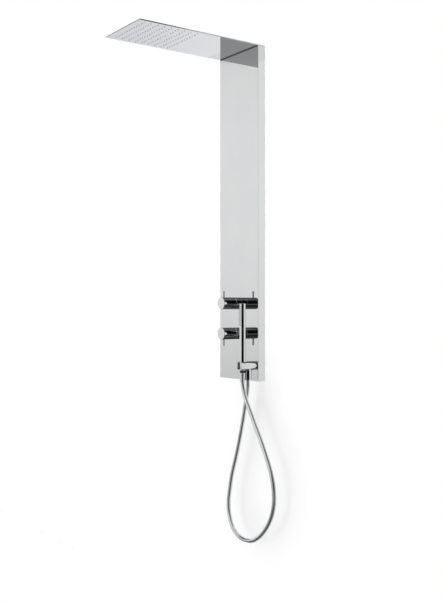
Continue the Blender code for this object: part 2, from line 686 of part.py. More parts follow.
def jet_strip(material, outer):
    """The curved silicone strip behind the handset's jets."""
    spread = [math.radians(-36 + 12 * i) for i in range(7)]
    outline = [(outer * math.sin(a), outer * math.cos(a)) for a in spread]
    inner = outer - 0.0015
    outline += [(inner * math.sin(a), inner * math.cos(a)) for a in reversed(spread)]
    top = HANDSET_TOP - 0.006
    strip = prism("handset_jets", outline, at, JET_FIRST - 0.010, top, material)
    strip.location = (OUTLET_X, -FORK_OUT, 0)
    return strip


def smooth_curve(route, count):
    """Points evenly spaced along the natural cubic spline through a route."""
    knots = np.array(route, dtype=float)
    spans = np.linalg.norm(np.diff(knots, axis=0), axis=1)
    places = np.concatenate(([0.0], np.cumsum(spans)))
    size = len(knots)
    matrix = np.eye(size)
    pull = np.zeros_like(knots)
    for i in range(1, size - 1):
        matrix[i, i - 1 : i + 2] = (spans[i - 1], 2 * (spans[i - 1] + spans[i]), spans[i])
        ahead = (knots[i + 1] - knots[i]) / spans[i]
        behind = (knots[i] - knots[i - 1]) / spans[i - 1]
        pull[i] = 6 * (ahead - behind)
    bends = np.linalg.solve(matrix, pull)
    fine = []
    for place in np.linspace(0, places[-1], 2000):
        i = min(int(np.searchsorted(places, place, side="right")) - 1, size - 2)
        span, a, b = spans[i], places[i + 1] - place, place - places[i]
        point = (bends[i] * a**3 + bends[i + 1] * b**3) / (6 * span)
        point += (knots[i] / span - bends[i] * span / 6) * a
        point += (knots[i + 1] / span - bends[i + 1] * span / 6) * b
        fine.append(point)
    fine = np.array(fine)
    along = np.concatenate(([0.0], np.cumsum(np.linalg.norm(np.diff(fine, axis=0), axis=1))))
    even = np.linspace(0, along[-1], count)
    return np.stack([np.interp(even, along, fine[:, axis]) for axis in range(3)], axis=1)


def build_hose(material):
    """A round hose with closed ends, from the handset's cone to the outlet's nut."""
    points = smooth_curve([at(*place) for place in HOSE_ROUTE], HOSE_POINTS)
    curve = bpy.data.curves.new("shower_hose", "CURVE")
    curve.dimensions = "3D"
    curve.bevel_depth = HOSE_RADIUS
    curve.bevel_resolution = 2
    curve.use_fill_caps = True
    spline = curve.splines.new("POLY")
    spline.points.add(len(points) - 1)
    for knot, point in zip(spline.points, points):
        knot.co = (*point, 1)
    curve.materials.append(material)
    hose = bpy.data.objects.new("shower_hose", curve)
    bpy.context.scene.collection.objects.link(hose)


def build():
    clear_scene()
    steel = finish("polished_steel", (0.72, 0.73, 0.74), 1, 0.06)
    chrome = finish("chrome", (0.80, 0.81, 0.82), 1, 0.03)
    brass = finish("brass", (0.72, 0.55, 0.28), 1, 0.35)
    zinc = finish("plain_steel", (0.60, 0.60, 0.61), 1, 0.35)
    silicone = finish("silicone", (0.62, 0.63, 0.64), 0, 0.45)
    rubber = finish("rubber", (0.03, 0.03, 0.03), 0, 0.7)
    plastic = finish("plastic", (0.12, 0.12, 0.13), 0, 0.4)
    hose = finish("hose_skin", (0.66, 0.69, 0.71), 0.6, 0.22)
    build_column(steel)
    build_hangers(zinc)
    build_head(steel, silicone, rubber, brass)
    build_head_brackets(zinc)
    build_pipes(zinc, brass)
    for name, (height, lever_way) in CONTROLS.items():
        build_valve(name, height, brass, plastic, rubber)
        build_control(name, height, lever_way, chrome, zinc, brass)
    build_outlet(chrome, brass, plastic, rubber)
    build_handset(chrome, brass, silicone, rubber)
    build_hose(hose)


build()
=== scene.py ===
"""The looks of the rainfall shower column: polished steel, chrome, silicone and hose around the
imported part.

Row frame in metres: +X right for someone facing the wall, +Y into the wall, +Z up.
"""

import json
import math

import bmesh
import bpy
import numpy as np
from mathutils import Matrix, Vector


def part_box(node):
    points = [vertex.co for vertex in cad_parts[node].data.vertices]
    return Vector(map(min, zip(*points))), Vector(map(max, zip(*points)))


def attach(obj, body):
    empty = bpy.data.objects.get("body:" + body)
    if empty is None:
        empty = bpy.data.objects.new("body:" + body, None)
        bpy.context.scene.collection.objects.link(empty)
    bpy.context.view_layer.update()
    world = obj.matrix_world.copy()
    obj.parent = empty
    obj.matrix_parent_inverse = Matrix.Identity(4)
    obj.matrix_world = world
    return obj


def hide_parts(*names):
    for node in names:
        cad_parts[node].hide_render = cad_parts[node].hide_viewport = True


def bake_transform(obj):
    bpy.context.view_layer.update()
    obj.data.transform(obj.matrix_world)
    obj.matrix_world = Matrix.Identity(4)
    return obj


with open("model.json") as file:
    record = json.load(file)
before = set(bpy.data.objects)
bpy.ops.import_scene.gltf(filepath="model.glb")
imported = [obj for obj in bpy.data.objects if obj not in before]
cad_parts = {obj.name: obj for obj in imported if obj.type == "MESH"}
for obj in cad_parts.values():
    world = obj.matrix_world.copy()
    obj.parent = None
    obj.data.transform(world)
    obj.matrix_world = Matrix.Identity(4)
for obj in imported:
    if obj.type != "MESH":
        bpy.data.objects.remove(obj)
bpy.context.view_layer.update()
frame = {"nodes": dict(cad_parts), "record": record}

PANEL_LOW, PANEL_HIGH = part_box("column_panel")
HEAD_LOW, HEAD_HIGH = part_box("head_shell")
PLATE_LOW, PLATE_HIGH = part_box("spray_plate")
BASE = PANEL_LOW.z  # the column's lower edge; heights below are counted from it
COVE = 0.0045  # reach of the corner between the column's front and the head
SEAM = 0.0034  # the part of that corner which shows as a hollow chamfer
DEPTH = -PANEL_LOW.y - COVE
HALF_WIDTH = PANEL_HIGH.x
HEAD_UNDER = PLATE_LOW.z - BASE
HEAD_TOP = HEAD_HIGH.z - BASE
HEAD_REACH = -HEAD_LOW.y
SHEET = 0.0015
GAP = 0.0003

OUTWARD = Vector((0, -1, 0))
UPWARD = Vector((0, 0, 1))


def at(x, out, height):
    """The point at x, so far out from the wall, and so high above the column's lower edge."""
    return Vector((x, -out, height + BASE))


# ---------------------------------------------------------------- materials

FILM_LAPS_PER_METRE = 160.0  # of the helix in the hose's skin


class NodeTree:
    """Short names for the usual nodes, fed by numbers or by other nodes' outputs."""

    def __init__(self, tree):
        self.nodes = tree.nodes
        self.links = tree.links

    def feed(self, value, socket):
        """Sets a socket to a number, or links it to another node's output."""
        if isinstance(value, (int, float)):
            socket.default_value = value
        else:
            self.links.new(value, socket)

    def ramp(self, value, stops):
        """Maps a value to greys or colours; stops are (place, grey or colour)."""
        node = self.nodes.new("ShaderNodeValToRGB")
        marks = node.color_ramp.elements
        while len(marks) < len(stops):
            marks.new(0.5)
        for mark, (where, colour) in zip(marks, stops):
            mark.position = where
            mark.color = (*colour, 1) if hasattr(colour, "__len__") else (colour, colour, colour, 1)
        self.links.new(value, node.inputs["Fac"])
        return node.outputs["Color"]

    def blend(self, kind, factor, one, other):
        node = self.nodes.new("ShaderNodeMix")
        node.data_type = "RGBA"
        node.blend_type = kind
        self.feed(factor, node.inputs["Factor"])
        self.links.new(one, node.inputs["A"])
        self.links.new(other, node.inputs["B"])
        return node.outputs["Result"]

    def math(self, kind, one, other=0.0):
        node = self.nodes.new("ShaderNodeMath")
        node.operation = kind
        self.feed(one, node.inputs[0])
        self.feed(other, node.inputs[1])
        return node.outputs["Value"]

    def split(self, vector):
        """The x, y and z of a vector."""
        node = self.nodes.new("ShaderNodeSeparateXYZ")
        self.links.new(vector, node.inputs["Vector"])
        return node.outputs

    def mix_shaders(self, factor, one, other):
        node = self.nodes.new("ShaderNodeMixShader")
        self.links.new(factor, node.inputs["Fac"])
        self.links.new(one, node.inputs[1])
        self.links.new(other, node.inputs[2])
        return node.outputs["Shader"]


class Shader(NodeTree):
    """A node material around one Principled BSDF."""

    def __init__(self, name, colour, metallic=0.0, roughness=0.5, **values):
        self.material = bpy.data.materials.new(name)
        self.material.use_nodes = True
        super().__init__(self.material.node_tree)
        self.surface = self.nodes["Principled BSDF"]
        self.place = self.nodes.new("ShaderNodeTexCoord").outputs["Object"]
        self.set(Base_Color=(*colour, 1), Metallic=metallic, Roughness=roughness, **values)

    def set(self, **values):
        for name, value in values.items():
            self.surface.inputs[name.replace("_", " ")].default_value = value

    def link(self, value, socket):
        self.links.new(value, self.surface.inputs[socket])

    def stretched(self, scale):
        node = self.nodes.new("ShaderNodeMapping")
        node.inputs["Scale"].default_value = scale
        self.links.new(self.place, node.inputs["Vector"])
        return node.outputs["Vector"]

    def noise(self, scale, detail=3.0, roughness=0.55, place=None):
        node = self.nodes.new("ShaderNodeTexNoise")
        node.inputs["Scale"].default_value = scale
        node.inputs["Detail"].default_value = detail
        node.inputs["Roughness"].default_value = roughness
        self.links.new(place or self.place, node.inputs["Vector"])
        return node.outputs["Fac"]

    def bump(self, height, strength, distance):
        """Adds a bump on top of any earlier one."""
        node = self.nodes.new("ShaderNodeBump")
        node.inputs["Strength"].default_value = strength
        node.inputs["Distance"].default_value = distance
        self.links.new(height, node.inputs["Height"])
        previous = self.surface.inputs["Normal"].links
        if previous:
            self.links.new(previous[0].from_socket, node.inputs["Normal"])
        self.links.new(node.outputs["Normal"], self.surface.inputs["Normal"])


def polished_steel():
    """Mirror-polished stainless sheet: faint cloudiness and hair-fine polishing marks."""
    made = Shader("polished_steel", (0.70, 0.705, 0.71), 1.0, 0.03)
    cloud = made.noise(7.0, 4.0, 0.6)
    made.link(made.ramp(cloud, [(0.3, (0.690, 0.695, 0.702)), (0.7, (0.712, 0.716, 0.720))]), "Base Color")
    marks = made.noise(220.0, 2.0, 0.7, made.stretched((1.0, 1.0, 0.06)))
    haze = made.blend("MIX", 0.35, cloud, marks)
    made.link(made.ramp(haze, [(0.35, 0.012), (0.7, 0.045)]), "Roughness")
    made.bump(marks, 0.02, 0.00002)
    return made.material


def chrome():
    """Bright chrome plate over brass, with a trace of polish haze."""
    made = Shader("chrome", (0.72, 0.725, 0.73), 1.0, 0.03)
    haze = made.noise(160.0, 3.0, 0.6)
    made.link(made.ramp(haze, [(0.35, 0.015), (0.75, 0.05)]), "Roughness")
    tint = made.noise(40.0, 2.0)
    made.link(made.ramp(tint, [(0.3, (0.705, 0.715, 0.725)), (0.7, (0.73, 0.73, 0.73))]), "Base Color")
    return made.material


def satin_chrome():
    """Chrome over a fine-blasted surface, which blurs what it mirrors."""
    made = Shader("satin_chrome", (0.86, 0.87, 0.885), 1.0, 0.3)
    grain = made.noise(900.0, 3.0)
    made.link(made.ramp(grain, [(0.3, (0.84, 0.855, 0.875)), (0.7, (0.88, 0.885, 0.895))]), "Base Color")
    made.link(made.ramp(grain, [(0.3, 0.30), (0.7, 0.42)]), "Roughness")
    made.bump(grain, 0.05, 0.00005)
    return made.material


def plain_steel():
    """Mill-finish stainless: long rolling lines and a satin haze."""
    made = Shader("plain_steel", (0.58, 0.58, 0.59), 1.0, 0.35)
    lines = made.noise(90.0, 4.0, 0.7, made.stretched((1.0, 1.0, 14.0)))
    cloud = made.noise(14.0, 4.0, 0.6)
    made.link(made.ramp(cloud, [(0.3, (0.52, 0.52, 0.53)), (0.7, (0.63, 0.63, 0.635))]), "Base Color")
    made.link(made.ramp(lines, [(0.3, 0.26), (0.7, 0.42)]), "Roughness")
    made.bump(lines, 0.12, 0.0001)
    return made.material


def brass():
    """Machined brass with fine tool marks and slight tarnish."""
    made = Shader("brass", (0.72, 0.55, 0.28), 1.0, 0.3)
    tarnish = made.noise(45.0, 5.0, 0.65)
    warm = [(0.25, (0.56, 0.40, 0.19)), (0.6, (0.74, 0.57, 0.30)), (0.8, (0.80, 0.64, 0.36))]
    made.link(made.ramp(tarnish, warm), "Base Color")
    made.link(made.ramp(tarnish, [(0.3, 0.42), (0.7, 0.24)]), "Roughness")
    marks = made.noise(260.0, 2.0, 0.6, made.stretched((1.0, 6.0, 1.0)))
    made.bump(marks, 0.15, 0.0001)
    return made.material


def silicone():
    """Soft translucent grey silicone, slightly dusty, with a moulded skin."""
    made = Shader("silicone", (0.82, 0.83, 0.84), 0.0, 0.42, Specular_IOR_Level=0.4)
    cloud = made.noise(300.0, 3.0)
    made.link(made.ramp(cloud, [(0.3, (0.78, 0.79, 0.80)), (0.7, (0.86, 0.87, 0.88))]), "Base Color")
    made.link(made.ramp(cloud, [(0.3, 0.34), (0.7, 0.52)]), "Roughness")
    made.bump(made.noise(1500.0, 2.0), 0.1, 0.0001)
    return made.material


def jet_silicone():
    """The darker, denser silicone of the handset's jets."""
    made = Shader("jet_silicone", (0.16, 0.16, 0.17), 0.0, 0.45, Specular_IOR_Level=0.4)
    cloud = made.noise(400.0, 3.0)
    made.link(made.ramp(cloud, [(0.3, (0.12, 0.12, 0.125)), (0.7, (0.20, 0.20, 0.21))]), "Base Color")
    made.link(made.ramp(cloud, [(0.3, 0.36), (0.7, 0.55)]), "Roughness")
    return made.material


def seal_rubber():
    """Black sealing rubber with a fine dull grain."""
    made = Shader("seal_rubber", (0.025, 0.025, 0.026), 0.0, 0.65)
    grain = made.noise(900.0, 3.0)
    made.link(made.ramp(grain, [(0.3, 0.018), (0.7, 0.035)]), "Base Color")
    made.link(made.ramp(grain, [(0.3, 0.55), (0.7, 0.78)]), "Roughness")
    made.bump(grain, 0.2, 0.0001)
    return made.material


def valve_plastic():
    """Dark moulded acetal with a fine spark-eroded grain."""
    made = Shader("valve_plastic", (0.10, 0.10, 0.11), 0.0, 0.4)
    grain = made.noise(700.0, 4.0, 0.6)
    made.link(made.ramp(grain, [(0.3, (0.085, 0.085, 0.09)), (0.7, (0.12, 0.12, 0.125))]), "Base Color")
    made.link(made.ramp(grain, [(0.3, 0.34), (0.7, 0.5)]), "Roughness")
    made.bump(grain, 0.15, 0.0001)
    return made.material


def hose_skin():
    """Silver film wound in a fine helix under a clear, smooth vinyl skin."""
    made = Shader("hose_skin", (0.70, 0.71, 0.72), 0.92, 0.3)
    made.set(Coat_Weight=0.8, Coat_Roughness=0.04, Coat_IOR=1.5)
    along = made.nodes.new("ShaderNodeUVMap")
    along.uv_map = "hose"
    turn, length, _ = made.split(along.outputs["UV"])
    laps = made.math("MULTIPLY", length, FILM_LAPS_PER_METRE)
    phase = made.math("FRACT", made.math("ADD", laps, turn))
    lap = made.ramp(phase, [(0.0, 0.25), (0.10, 1.0), (0.90, 1.0), (1.0, 0.25)])
    film = made.ramp(made.noise(60.0, 3.0), [(0.3, (0.66, 0.675, 0.685)), (0.7, (0.76, 0.77, 0.775))])
    made.link(made.blend("MULTIPLY", 0.22, film, lap), "Base Color")
    made.link(made.ramp(made.noise(400.0, 2.0), [(0.3, 0.12), (0.7, 0.20)]), "Roughness")
    made.bump(lap, 0.06, 0.0002)
    return made.material


FINISHES = {
    make.__name__: make()
    for make in (
        polished_steel,
        chrome,
        satin_chrome,
        plain_steel,
        brass,
        silicone,
        jet_silicone,
        seal_rubber,
        valve_plastic,
        hose_skin,
    )
}


# ---------------------------------------------------------------- mesh tools


def soften(points, radius, steps=4):
    """Rounds the corners of a closed outline of (a, b) points, but for those on the axis, a = 0."""
    made = []
    count = len(points)
    for i, point in enumerate(points):
        corner = Vector(point)
        back = Vector(points[i - 1]) - corner
        onward = Vector(points[(i + 1) % count]) - corner
        if corner.x == 0 or back.length == 0 or onward.length == 0:
            made.append(tuple(corner))
            continue
        half = back.angle(onward) / 2
        reach = min(radius / math.tan(half), 0.45 * back.length, 0.45 * onward.length)
        start = back.normalized() * reach
        end = onward.normalized() * reach
        for k in range(steps + 1):
            t = k / steps
            made.append(tuple(corner + start * (1 - t) ** 2 + end * t ** 2))
    return made


def add_piece(name, shape, finish, body, stands_for=(), smooth_to=32, weigh=True):
    """Makes a bmesh a shown piece that rides on a body and may stand for CAD nodes."""
    bmesh.ops.remove_doubles(shape, verts=shape.verts, dist=1e-7)
    bmesh.ops.recalc_face_normals(shape, faces=shape.faces)
    mesh = bpy.data.meshes.new(name)
    shape.to_mesh(mesh)
    shape.free()
    mesh.materials.append(FINISHES[finish])
    mesh.shade_smooth()
    mesh.set_sharp_from_angle(angle=math.radians(smooth_to))
    piece = bpy.data.objects.new(name, mesh)
    bpy.context.scene.collection.objects.link(piece)
    if weigh:
        weights = piece.modifiers.new("flat_faces", "WEIGHTED_NORMAL")
        weights.keep_sharp = True
        weights.weight = 90
    if body:
        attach(piece, body)
    if stands_for:
        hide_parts(*stands_for)
    return piece


def join_rings(shape, one, other):
    """Joins two rings of vertices with faces; a ring of one vertex is a point on the axis."""
    count = max(len(one), len(other))
    if count == 1:
        return
    for i in range(count):
        j = (i + 1) % count
        if len(one) == 1:
            shape.faces.new((one[0], other[i], other[j]))
        elif len(other) == 1:
            shape.faces.new((one[i], one[j], other[0]))
        else:
            shape.faces.new((one[i], one[j], other[j], other[i]))


def turn_profile(shape, profile, base, direction, sides):
    """Turns a closed profile of (radius, along) around an axis into a bmesh."""
    side = Vector((1, 0, 0)) if abs(direction.x) < 0.5 else Vector((0, 1, 0))
    across = direction.cross(side)
    rings = []
    for radius, along in profile:
        if radius == 0:
            rings.append([shape.verts.new(base + direction * along)])
            continue
        angles = (math.tau * i / sides for i in range(sides))
        spokes = (side * math.cos(a) + across * math.sin(a) for a in angles)
        rings.append([shape.verts.new(base + spoke * radius + direction * along) for spoke in spokes])
    for one, other in zip(rings, rings[1:] + rings[:1]):
        join_rings(shape, one, other)


def turned(name, profile, base, direction, finish, body, stands_for=(), sides=64, edge=0.0004):
    """A piece turned from a closed profile of (radius, along), with its edges softened."""
    shape = bmesh.new()
    turn_profile(shape, soften(profile, edge), base, direction, sides)
    return add_piece(name, shape, finish, body, stands_for)


def cutter(name, shape):
    """A body that a Boolean cuts with; it is removed after the cut."""
    bmesh.ops.recalc_face_normals(shape, faces=shape.faces)
    mesh = bpy.data.meshes.new(name)
    shape.to_mesh(mesh)
    shape.free()
    tool = bpy.data.objects.new(name, mesh)
    bpy.context.scene.collection.objects.link(tool)
    return tool


def cut(piece, *shapes):
    """Cuts bmesh shapes out of a piece, and keeps the result as its mesh."""
    bpy.context.view_layer.update()
    tools = [cutter(f"cutter_{i}", shape) for i, shape in enumerate(shapes)]
    steps = []
    for tool in tools:
        step = piece.modifiers.new(tool.name, "BOOLEAN")
        step.operation = "DIFFERENCE"
        step.solver = "EXACT"
        step.object = tool
        steps.append(step)
    kept = [m.name for m in piece.modifiers if m.type != "BOOLEAN"]
    for name in kept:
        piece.modifiers[name].show_viewport = False
    graph = bpy.context.evaluated_depsgraph_get()
    mesh = bpy.data.meshes.new_from_object(piece.evaluated_get(graph), depsgraph=graph)
    for name in kept:
        piece.modifiers[name].show_viewport = True
    for step in steps:
        piece.modifiers.remove(step)
    for tool in tools:
        bpy.data.objects.remove(tool)
    piece.data = mesh
    mesh.shade_smooth()
    mesh.set_sharp_from_angle(angle=math.radians(32))


def rod_shape(radius, start, end, base, direction, sides=48):
    """A solid round rod along a direction."""
    shape = bmesh.new()
    profile = [(0, start), (radius, start), (radius, end), (0, end)]
    turn_profile(shape, profile, base, direction, sides)
    return shape


def prism_shape(outline, to_point, start, end):
    """A closed outline of (a, b) moved from start to end."""
    shape = bmesh.new()
    first = [shape.verts.new(to_point(a, b, start)) for a, b in outline]
    last = [shape.verts.new(to_point(a, b, end)) for a, b in outline]
    shape.faces.new(first)
    shape.faces.new(last)
    join_rings(shape, first, last)
    return shape


def box_shape(xs, outs, heights):
    """A block between two x, two distances from the wall and two heights."""
    outline = [(xs[0], outs[0]), (xs[1], outs[0]), (xs[1], outs[1]), (xs[0], outs[1])]
    return prism_shape(outline, at, heights[0], heights[1])


# ---------------------------------------------------------------- camera, hose

CAMERA_PLACE = at(2.780, 2.078, 0.2987)
CAMERA_YAW = 54.82  # degrees left of straight at the wall
CAMERA_PITCH = 0.21
CAMERA_LENS = 51.8


def add_camera():
    """The camera at the photograph's angle."""
    lens = bpy.data.cameras.new("camera")
    lens.lens = CAMERA_LENS
    lens.clip_end = 50
    camera = bpy.data.objects.new("camera", lens)
    camera.location = CAMERA_PLACE
    camera.rotation_euler = (math.radians(90 + CAMERA_PITCH), 0, math.radians(CAMERA_YAW))
    bpy.context.scene.collection.objects.link(camera)
    bpy.context.scene.camera = camera


OUTLET_X = 0.105
FORK_OUT = 0.0937
SPIGOT_OUT = 0.0677
HOSE_DIAMETER = 0.0165
HOSE_RINGS, HOSE_SIDES = 420, 28
HOSE_ROUTE = (
    (OUTLET_X, FORK_OUT, 0.0337),
    (OUTLET_X, FORK_OUT, 0.005),
    (0.111, 0.0930, -0.030),
    (0.126, 0.0920, -0.068),
    (0.148, 0.0905, -0.106),
    (0.173, 0.0890, -0.149),
    (0.211, 0.0870, -0.211),
    (0.245, 0.0850, -0.274),
    (0.271, 0.0835, -0.333),
    (0.283, 0.0820, -0.390),
    (0.281, 0.0810, -0.443),
    (0.265, 0.0800, -0.491),
    (0.235, 0.0800, -0.537),
    (0.196, 0.0800, -0.575),
    (0.150, 0.0800, -0.601),
    (0.102, 0.0795, -0.609),
    (0.056, 0.0790, -0.601),
    (0.021, 0.0785, -0.577),
    (0.000, 0.0780, -0.540),
    (-0.010, 0.0770, -0.498),
    (-0.005, 0.0755, -0.441),
    (0.008, 0.0740, -0.378),
    (0.028, 0.0725, -0.316),
    (0.049, 0.0710, -0.249),
    (0.068, 0.0700, -0.182),
    (0.083, 0.0690, -0.122),
    (0.096, 0.0680, -0.065),
    (OUTLET_X, SPIGOT_OUT, -0.020),
    (OUTLET_X, SPIGOT_OUT, 0.0057),
)


def smooth_curve(route, count):
    """Points evenly spaced along the natural cubic spline through a route."""
    knots = np.array(route, dtype=float)
    spans = np.linalg.norm(np.diff(knots, axis=0), axis=1)
    places = np.concatenate(([0.0], np.cumsum(spans)))
    size = len(knots)
    matrix = np.eye(size)
    pull = np.zeros_like(knots)
    for i in range(1, size - 1):
        matrix[i, i - 1 : i + 2] = (spans[i - 1], 2 * (spans[i - 1] + spans[i]), spans[i])
        ahead = (knots[i + 1] - knots[i]) / spans[i]
        behind = (knots[i] - knots[i - 1]) / spans[i - 1]
        pull[i] = 6 * (ahead - behind)
    bends = np.linalg.solve(matrix, pull)
    fine = []
    for place in np.linspace(0, places[-1], 4000):
        i = min(int(np.searchsorted(places, place, side="right")) - 1, size - 2)
        span, a, b = spans[i], places[i + 1] - place, place - places[i]
        point = (bends[i] * a**3 + bends[i + 1] * b**3) / (6 * span)
        point += (knots[i] / span - bends[i] * span / 6) * a
        point += (knots[i + 1] / span - bends[i + 1] * span / 6) * b
        fine.append(point)
    fine = np.array(fine)
    along = np.concatenate(([0.0], np.cumsum(np.linalg.norm(np.diff(fine, axis=0), axis=1))))
    even = np.linspace(0, along[-1], count)
    return [Vector([np.interp(place, along, fine[:, axis]) for axis in range(3)]) for place in even]


def sweep(points, radius, sides):
    """A round tube with closed ends and a map of (turn, length in metres), as a bmesh."""
    shape = bmesh.new()
    uv = shape.loops.layers.uv.new("hose")
    ahead = (points[1] - points[0]).normalized()
    side = ahead.orthogonal().normalized()
    rings, along, total = [], [], 0.0
    for i, point in enumerate(points):
        onward = (points[min(i + 1, len(points) - 1)] - points[max(i - 1, 0)]).normalized()
        side = (side - onward * side.dot(onward)).normalized()
        across = onward.cross(side)
        if i:
            total += (point - points[i - 1]).length
        along.append(total)
        angles = (math.tau * k / sides for k in range(sides))
        spokes = (side * math.cos(a) + across * math.sin(a) for a in angles)
        rings.append([shape.verts.new(point + spoke * radius) for spoke in spokes])
    for i, (one, other) in enumerate(zip(rings, rings[1:])):
        for k in range(sides):
            j = (k + 1) % sides
            face = shape.faces.new((one[k], one[j], other[j], other[k]))
            turns = (k / sides, (k + 1) / sides, (k + 1) / sides, k / sides)
            lengths = (along[i], along[i], along[i + 1], along[i + 1])
            for loop, turn, length in zip(face.loops, turns, lengths):
                loop[uv].uv = (turn, length)
    shape.faces.new(reversed(rings[0]))
    shape.faces.new(rings[-1])
    return shape


def add_hose():
    """The hose, swept along a smooth curve from the cone down to the outlet's nut."""
    points = smooth_curve([at(*place) for place in HOSE_ROUTE], HOSE_RINGS)
    shape = sweep(points, HOSE_DIAMETER / 2, HOSE_SIDES)
    hose = add_piece("hose", shape, "hose_skin", None, ["shower_hose"], 40, False)
    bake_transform(hose)
    # A share for each ring, falling smoothly from one at the cone's end to none at the nut; nothing reads
    # it
    share = np.linspace(1.0, 0.0, HOSE_RINGS)
    share = np.repeat(share * share * (3 - 2 * share), HOSE_SIDES)
    return hose, points


# ---------------------------------------------------------------- studio

FLOOR_HEIGHT = -1.05
FLOOR_GLOW, FLOOR_TONE = 0.75, 0.30
WALL_GLOW, WALL_TONE = 0.215, 0.05
WALL_BACK = 0.001
ROOM_LEFT, ROOM_RIGHT = -4.0, 2.4
ROOM_FRONT, ROOM_TOP = -3.2, 3.0
FRONT_LIGHTS = {"front_key": (0.09, 24), "front_fill": (0.68, 130)}  # share of the wall's light, spread
FRONT_LIGHT_DROP, FRONT_LIGHT_TURN = 8, 9  # degrees down, and round from straight at the wall

# The cards' glow by x, and by height above the column's lower edge
COOLNESS = 0.015  # how far the glow leans to blue left of the column's middle
LOW_CARD_BY_X = (
    (ROOM_LEFT, 0.68),
    (-0.8, 0.895),
    (-0.43, 0.975),
    (-0.1, 1.01),
    (0.0, 1.0),
    (0.2, 1.0),
    (0.3, 0.88),
    (0.50, 0.60),
    (0.75, 0.06),
    (ROOM_RIGHT, 0.02),
)
LOW_CARD_BY_HEIGHT = (
    (FLOOR_HEIGHT, 0.80),
    (-0.3, 0.85),
    (0.05, 0.90),
    (0.25, 0.94),
    (0.65, 1.0),
    (1.2, 0.97),
    (1.25, 0.97),
)
HIGH_CARD_BY_X = (
    (ROOM_LEFT, 0.60),
    (-0.2, 0.90),
    (0.19, 0.88),
    (0.25, 0.62),
    (0.62, 0.58),
    (0.71, 0.25),
    (0.78, 0.06),
    (0.86, 0.02),
    (ROOM_RIGHT, 0.02),
)
HIGH_CARD_BY_HEIGHT = ((1.25, 1.0), (1.7, 1.0), (2.0, 0.3), (ROOM_TOP, 0.1))

# What mirrors see beyond the cards: the room's brightness by elevation, in degrees, first all
# round and then on the side that stays dark. Both are fixed to the room.
BY_HEIGHT = (
    (-90, 0.08),
    (-50, 0.06),
    (-28, 0.09),
    (-22, 0.42),
    (-16, 0.45),
    (-7, 0.70),
    (-4.5, 0.775),
    (-2.9, 0.85),
    (0, 0.93),
    (4, 0.97),
    (11, 0.975),
    (14.9, 0.93),
    (15.9, 0.87),
    (16.5, 0.06),
    (22, 0.03),
    (50, 0.02),
    (52, 0.06),
    (54, 0.34),
    (57, 0.34),
    (64, 1.0),
    (90, 1.0),
)
DARK_SIDE = (
    (-90, 0.02),
    (-25, 0.025),
    (-20, 0.15),
    (-11, 0.12),
    (-8, 0.045),
    (-5, 0.004),
    (40, 0.004),
    (44, 0.06),
    (50, 0.20),
    (56, 0.35),
    (62, 1.0),
    (90, 1.0),
)
# By bearing, in degrees from straight out of the wall towards +X: where the dark side begins and
# ends, and how bright the softbox is, which also fades at its lower and upper edge
DARK_BEARINGS = ((14, 0.0), (17, 1.0), (93, 1.0), (98, 0.0))
SOFTBOX_BEARINGS = ((-48, 0.0), (-42, 0.95), (34, 0.95), (39, 0.0))
SOFTBOX_HEIGHTS = ((9, 0.0), (12, 1.0), (37, 1.0), (41, 0.0))


def add_stage(name, corners, finish):
    """A flat sheet of the studio, which is no part of the object."""
    mesh = bpy.data.meshes.new(name)
    mesh.from_pydata(corners, [], [tuple(range(len(corners)))])
    mesh.materials.append(finish)
    board = bpy.data.objects.new(name, mesh)
    bpy.context.scene.collection.objects.link(board)
    return board


def paper(name, glow, tone):
    """Matt paper that also glows, seen from its front only."""
    made = Shader(name, (tone, tone, tone), 0.0, 1.0, Specular_IOR_Level=0.0)
    made.set(Emission_Color=(1, 1, 1, 1), Emission_Strength=glow)
    clear = made.nodes.new("ShaderNodeBsdfTransparent").outputs["BSDF"]
    behind = made.nodes.new("ShaderNodeNewGeometry").outputs["Backfacing"]
    mixed = made.mix_shaders(behind, made.surface.outputs["BSDF"], clear)
    made.links.new(mixed, made.nodes["Material Output"].inputs["Surface"])
    return made.material


def add_room():
    """A white wall behind the column and a pale floor below it, neither seen by mirrors."""
    low, high = FLOOR_HEIGHT + BASE, ROOM_TOP + BASE
    wall_foot = [(ROOM_LEFT, WALL_BACK, low), (ROOM_RIGHT, WALL_BACK, low)]
    wall_head = [(ROOM_RIGHT, WALL_BACK, high), (ROOM_LEFT, WALL_BACK, high)]
    front_edge = [(ROOM_LEFT, ROOM_FRONT, low), (ROOM_RIGHT, ROOM_FRONT, low)]
    wall = add_stage("wall", wall_foot + wall_head, paper("wall_paper", WALL_GLOW, WALL_TONE))
    floor_corners = front_edge + wall_foot[::-1]
    floor = add_stage("floor", floor_corners, paper("floor_paper", FLOOR_GLOW, FLOOR_TONE))
    wall.visible_glossy = False
    floor.visible_glossy = False
    return wall


def add_front_lights(wall, casters):
    """Soft light from straight ahead that falls on the wall only, shaded by the casters."""
    receivers = bpy.data.collections.new("lit_from_the_front")
    receivers.objects.link(wall)
    blockers = bpy.data.collections.new("shadow_on_the_wall")
    for caster in casters:
        blockers.objects.link(caster)
    for name, (share, spread) in FRONT_LIGHTS.items():
        light = bpy.data.lights.new(name, "SUN")
        light.energy = share * math.pi / WALL_TONE
        light.angle = math.radians(spread)
        light.cycles.use_multiple_importance_sampling = False
        lamp = bpy.data.objects.new(name, light)
        lamp.rotation_euler = (math.radians(90 - FRONT_LIGHT_DROP), 0, math.radians(FRONT_LIGHT_TURN))
        lamp.light_linking.receiver_collection = receivers
        lamp.light_linking.blocker_collection = blockers
        bpy.context.scene.collection.objects.link(lamp)


